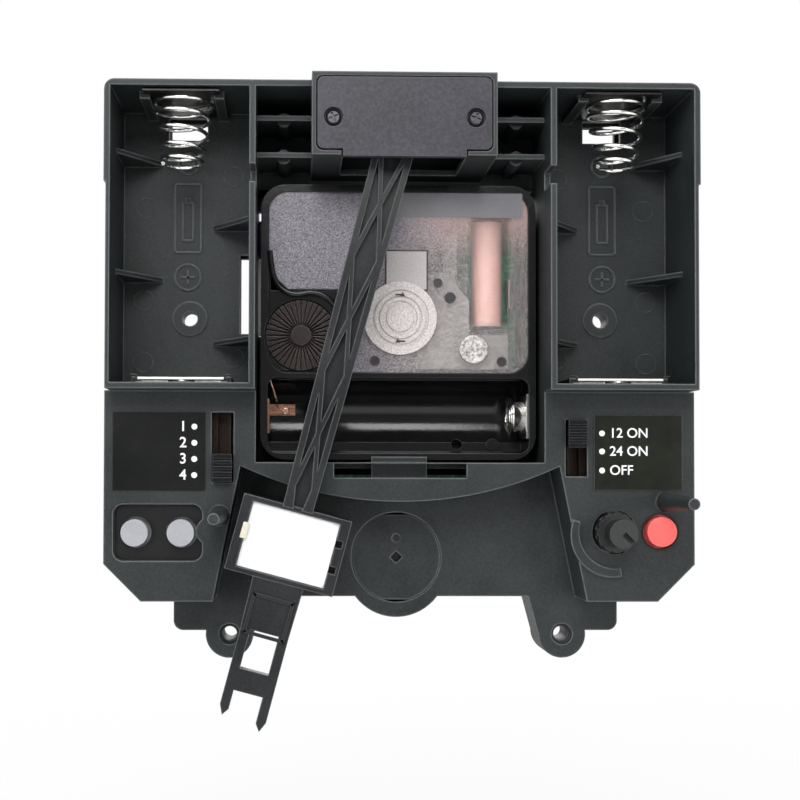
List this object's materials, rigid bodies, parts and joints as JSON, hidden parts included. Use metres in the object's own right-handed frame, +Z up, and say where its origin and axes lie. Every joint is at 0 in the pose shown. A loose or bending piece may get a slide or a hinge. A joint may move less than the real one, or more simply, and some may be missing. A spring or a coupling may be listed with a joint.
{
  "type": "quartz clock movement",
  "caption": "Back-mounted quartz pendulum and chime clock movement with two open cell bays, a swinging magnet arm, slide switches, buttons and a volume knob.",
  "frame": {"origin": "on the hand axis, in the front face that lies on the dial", "axes": "+Y forward along the hand shafts, through the dial; +Z up towards 12 o'clock; +X to the right when seen from the back"},
  "size_m": [0.1176, 0.0578, 0.1275],
  "materials": {
    "charcoal_plastic": "fine moulded texture",
    "violet_grey_plastic": "satin moulded",
    "screw_steel": "blackened",
    "copper_wire": "enamelled wire",
    "black_plastic": "satin moulded",
    "case_plastic": "gloss moulded",
    "board_green": "solder mask",
    "nickel": "nickel plated",
    "label_film": "printed film",
    "switch_steel": "tinned",
    "grey_button": "satin moulded",
    "red_button": "satin moulded",
    "magnet_white": "white face",
    "smoky_clear": "fine frosted, smoky",
    "brown_plastic": "satin moulded",
    "pale_plastic": "natural acetal",
    "blue_plastic": "acetal",
    "motor_steel": "plain",
    "brass": "turned",
    "copper_strip": "plated strip"
  },
  "bodies": {
    "housing": {"rear_housing": "charcoal_plastic", "front_plate": "charcoal_plastic", "front_plate_screws": "screw_steel", "suspension_cover": "violet_grey_plastic", "suspension_screws": "screw_steel", "pendulum_pivot_pin": "screw_steel", "coil_cap": "charcoal_plastic", "drive_coil": "copper_wire", "drive_coil_bobbin": "black_plastic", "drive_coil_core": "screw_steel", "left_circuit_board": "board_green", "right_circuit_board": "board_green", "middle_circuit_board": "board_green", "melody_chip": "black_plastic", "board_capacitors": "black_plastic", "board_screws": "screw_steel", "left_battery_spring": "nickel", "right_battery_spring": "nickel", "left_spring_plate": "nickel", "right_spring_plate": "nickel", "left_positive_contact": "nickel", "right_positive_contact": "nickel", "tune_label": "label_film", "mode_label": "label_film", "tune_switch_body": "switch_steel", "mode_switch_body": "switch_steel", "button_switches": "switch_steel", "volume_potentiometer": "switch_steel", "movement_case": "case_plastic", "movement_cover": "smoky_clear", "train_bridge": "pale_plastic", "middle_plate": "black_plastic", "stepper_coil": "copper_wire", "coil_bobbin": "black_plastic", "coil_core": "motor_steel", "stator": "motor_steel", "movement_board": "board_green", "quartz_crystal": "nickel", "cell_spring_contact": "nickel", "cell_plus_contact": "copper_strip"},
    "pendulum": {"pendulum_arm": "black_plastic", "pendulum_magnet": "magnet_white"},
    "tune_knob": {"tune_switch_knob": "black_plastic"},
    "mode_knob": {"mode_switch_knob": "black_plastic"},
    "set_key": {"set_button": "grey_button"},
    "reset_key": {"reset_button": "grey_button"},
    "monitor_key": {"monitor_button": "red_button"},
    "volume_control": {"volume_shaft": "nickel", "volume_knob": "black_plastic"},
    "rotor_arbor": {"rotor": "motor_steel"},
    "intermediate_arbor": {"intermediate_wheel": "pale_plastic"},
    "seconds_arbor": {"seconds_wheel": "pale_plastic"},
    "third_arbor": {"third_wheel": "pale_plastic"},
    "centre_disc": {"centre_wheel": "blue_plastic"},
    "minute_tube": {"minute_cannon": "brass"},
    "minute_stud_wheel": {"minute_wheel": "pale_plastic"},
    "hour_tube": {"hour_wheel": "pale_plastic"},
    "setting_arbor": {"setting_wheel": "brown_plastic"}
  },
  "joints": [
    {"name": "pendulum_swing", "type": "hinge", "parent": "housing", "child": "pendulum", "pos_m": [0, 0, 0.038], "axis": [0, -1, 0], "range_deg": [0, 29.8]},
    {"name": "tune_select", "type": "slide", "parent": "housing", "child": "tune_knob", "axis": [0, 0, 1], "range_m": [0, 0.0081]},
    {"name": "mode_select", "type": "slide", "parent": "housing", "child": "mode_knob", "axis": [0, 0, -1], "range_m": [0, 0.0056]},
    {"name": "set_press", "type": "slide", "parent": "housing", "child": "set_key", "axis": [0, 1, 0], "range_m": [0, 0.0008], "stiffness_N_per_m": 1000},
    {"name": "reset_press", "type": "slide", "parent": "housing", "child": "reset_key", "axis": [0, 1, 0], "range_m": [0, 0.0008], "stiffness_N_per_m": 1000},
    {"name": "monitor_press", "type": "slide", "parent": "housing", "child": "monitor_key", "axis": [0, 1, 0], "range_m": [0, 0.0008], "stiffness_N_per_m": 1000},
    {"name": "volume_turn", "type": "hinge", "parent": "housing", "child": "volume_control", "pos_m": [0.0427, 0, -0.0432], "axis": [0, -1, 0], "range_deg": [0, 280]},
    {"name": "intermediate_spin", "type": "hinge", "parent": "housing", "child": "intermediate_arbor", "pos_m": [0.00808, 0, -0.0023], "axis": [0, -1, 0], "continuous": true},
    {"name": "rotor_spin", "type": "hinge", "parent": "housing", "child": "rotor_arbor", "pos_m": [0.0153, 0, -0.0061], "axis": [0, -1, 0], "continuous": true},
    {"name": "seconds_spin", "type": "hinge", "parent": "housing", "child": "seconds_arbor", "pos_m": [0, 0, 0], "axis": [0, -1, 0], "continuous": true},
    {"name": "third_spin", "type": "hinge", "parent": "housing", "child": "third_arbor", "pos_m": [-0.00459, 0, 0.00795], "axis": [0, -1, 0], "continuous": true},
    {"name": "centre_spin", "type": "hinge", "parent": "housing", "child": "centre_disc", "pos_m": [0, 0, 0], "axis": [0, -1, 0], "continuous": true},
    {"name": "setting_spin", "type": "hinge", "parent": "housing", "child": "setting_arbor", "pos_m": [-0.0198, 0, -0.0036], "axis": [0, -1, 0], "continuous": true},
    {"name": "minute_wheel_spin", "type": "hinge", "parent": "housing", "child": "minute_stud_wheel", "pos_m": [-0.00851, 0, -0.00049], "axis": [0, -1, 0], "continuous": true},
    {"name": "minute_spin", "type": "hinge", "parent": "housing", "child": "minute_tube", "pos_m": [0, 0, 0], "axis": [0, -1, 0], "continuous": true},
    {"name": "hour_spin", "type": "hinge", "parent": "housing", "child": "hour_tube", "pos_m": [0, 0, 0], "axis": [0, -1, 0], "continuous": true}
  ],
  "couplings": [
    {"joint": "rotor_spin", "follows": "intermediate_spin", "ratio": -5},
    {"joint": "seconds_spin", "follows": "intermediate_spin", "ratio": -0.16667},
    {"joint": "third_spin", "follows": "intermediate_spin", "ratio": 0.022222},
    {"joint": "centre_spin", "follows": "intermediate_spin", "ratio": -0.0027778},
    {"joint": "minute_wheel_spin", "follows": "setting_spin", "ratio": -0.83333},
    {"joint": "minute_spin", "follows": "setting_spin", "ratio": 2.5},
    {"joint": "hour_spin", "follows": "setting_spin", "ratio": 0.20833}
  ]
}
